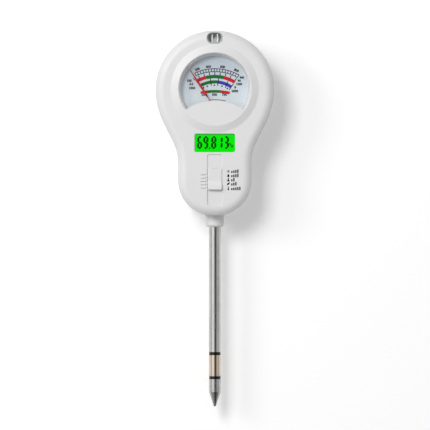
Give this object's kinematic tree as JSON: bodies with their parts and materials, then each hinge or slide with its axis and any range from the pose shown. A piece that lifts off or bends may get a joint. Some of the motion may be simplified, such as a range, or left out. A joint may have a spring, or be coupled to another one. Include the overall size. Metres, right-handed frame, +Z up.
{
  "type": "soil tester",
  "caption": "Hand-held soil tester: a rounded white head with a needle meter, lit display, slide switch and light sensor, on a straight steel ground probe with a brass band.",
  "frame": {"origin": "on the probe's axis at the collar's lower face, where the probe stops in the ground", "axes": "+Z up along the probe to the head, -Y out of the dial, +X to the right of the dial"},
  "size_m": [0.071, 0.0341, 0.2255],
  "materials": {
    "white_plastic": "fine satin moulded plastic",
    "clear_plastic": "clear polished plastic",
    "dial_card": "matt printed aluminium",
    "needle_red": "matt red paint on thin aluminium",
    "display_glass": "lit green display with dark segments",
    "light_guide": "clear acrylic block",
    "steel": "nickel-plated steel",
    "probe_steel": "polished stainless steel",
    "soft_iron": "dull iron",
    "meter_metal": "stamped aluminium",
    "brass": "polished brass",
    "copper": "enamelled copper wire",
    "ruby": "polished synthetic ruby",
    "black_plastic": "black moulded plastic",
    "grey_plastic": "grey moulded plastic",
    "rubber": "soft black rubber",
    "board_green": "glass-fibre board with green mask",
    "cell_jacket": "steel can in a dark printed film",
    "wire_cover": "soft insulated lead",
    "bead_glass": "dark resin bead"
  },
  "bodies": {
    "case": {"front_shell": "white_plastic", "rear_shell": "white_plastic", "probe_collar": "white_plastic", "dial_window": "clear_plastic", "sensor_window": "clear_plastic", "dial_plate": "dial_card", "lcd_glass": "display_glass", "lcd_backlight": "light_guide", "case_screws": "steel", "board_screws": "steel", "meter_screws": "steel", "switch_can": "steel", "photodiode_leads": "steel", "battery_contacts": "steel", "battery_link": "steel", "hairspring": "steel", "probe_tube": "probe_steel", "probe_tip": "probe_steel", "meter_yoke": "soft_iron", "meter_magnet": "soft_iron", "magnet_spokes": "soft_iron", "meter_frame": "meter_metal", "front_bridge": "meter_metal", "rear_bridge": "meter_metal", "ring_electrode": "brass", "switch_pins": "brass", "jewel_bearings": "ruby", "upper_insulator": "black_plastic", "lower_insulator": "black_plastic", "switch_base": "black_plastic", "board_chip": "black_plastic", "board_parts": "black_plastic", "lcd_frame": "grey_plastic", "sensor_cup": "grey_plastic", "photodiode": "grey_plastic", "probe_core": "grey_plastic", "collar_gasket": "rubber", "contact_strip": "rubber", "circuit_board": "board_green", "battery_cells": "cell_jacket", "sensor_wires": "wire_cover", "meter_wires": "wire_cover", "battery_wires": "wire_cover", "probe_wires": "wire_cover", "thermistor": "bead_glass"},
    "mode_slider": {"thumb_slider": "white_plastic", "slider_carrier": "grey_plastic", "switch_actuator": "grey_plastic"},
    "needle": {"needle": "needle_red", "needle_staff": "steel", "moving_coil": "copper", "needle_weights": "brass"},
    "battery_door": {"battery_door": "white_plastic"}
  },
  "joints": [
    {"name": "mode_slide", "type": "slide", "parent": "case", "child": "mode_slider", "axis": [0, 0, 1], "range_m": [0, 0.008]},
    {"name": "needle_turn", "type": "hinge", "parent": "case", "child": "needle", "pos_m": [0, -0.0105, 0.0713], "axis": [0, 1, 0], "range_deg": [0, 66], "stiffness_Nm_per_rad": 0.0002},
    {"name": "door_hinge", "type": "hinge", "parent": "case", "child": "battery_door", "pos_m": [0, 0.016, 0.07], "axis": [1, 0, 0], "range_deg": [0, 60]}
  ]
}
